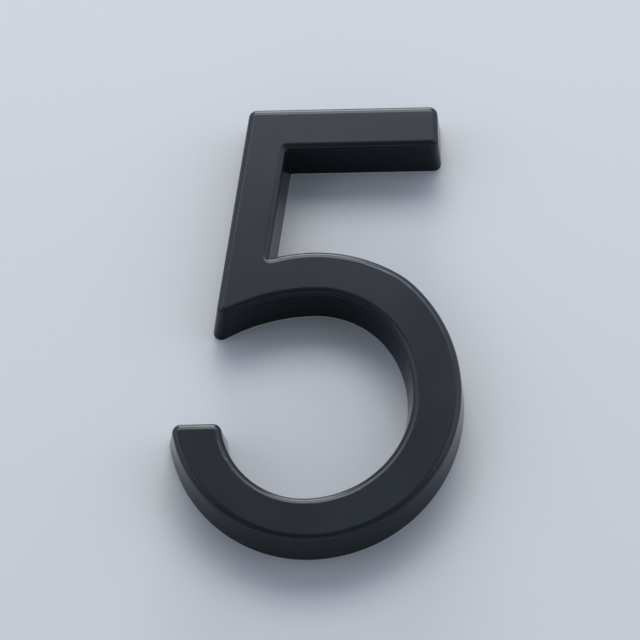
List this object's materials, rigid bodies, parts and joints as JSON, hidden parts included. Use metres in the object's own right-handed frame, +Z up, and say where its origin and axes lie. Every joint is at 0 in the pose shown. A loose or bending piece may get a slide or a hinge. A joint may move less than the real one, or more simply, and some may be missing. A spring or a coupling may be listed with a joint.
{
  "type": "house number",
  "caption": "House number 5: a satin black moulded plastic digit with tapered sides, a rolled face edge and a hollow ribbed back, stuck flat on a door or wall.",
  "frame": {"origin": "on the mounting plane, at the baseline of the number, in the middle of its width", "axes": "+Z up as the number is read, +X to its right, +Y into the wall; the face looks along -Y"},
  "size_m": [0.0321, 0.0066, 0.05],
  "materials": {
    "black_plastic": "satin black moulded ABS"
  },
  "bodies": {
    "root": {"number_five": "black_plastic"}
  },
  "joints": []
}
